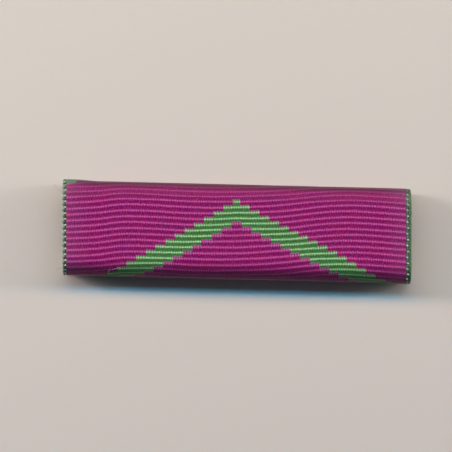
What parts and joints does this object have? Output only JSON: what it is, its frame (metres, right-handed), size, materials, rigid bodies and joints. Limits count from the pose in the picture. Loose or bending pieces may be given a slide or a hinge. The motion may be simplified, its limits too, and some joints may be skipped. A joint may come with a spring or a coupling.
{
  "type": "ribbon bar",
  "caption": "Ribbon bar: a ribbed woven ribbon with a green chevron and green selvedges, wrapped over a brass plate with a slide channel at the back.",
  "frame": {"origin": "middle of the bar on the surface that it lies on, at the back of the ribbon's folds", "axes": "+X along the bar to its right end, +Y to its upper long edge, +Z out of the ribbon's face"},
  "size_m": [0.035, 0.0096, 0.0029],
  "materials": {
    "ribbon_magenta": "ribbed woven silk or rayon, magenta",
    "ribbon_green": "ribbed woven silk or rayon, grass green",
    "selvedge_green": "beaded woven edge, green",
    "brass": "rolled sheet, slightly tarnished"
  },
  "bodies": {
    "root": {"ribbon": "ribbon_magenta", "chevron": "ribbon_green", "selvedge_left": "selvedge_green", "selvedge_right": "selvedge_green", "backing_plate": "brass"}
  },
  "joints": []
}
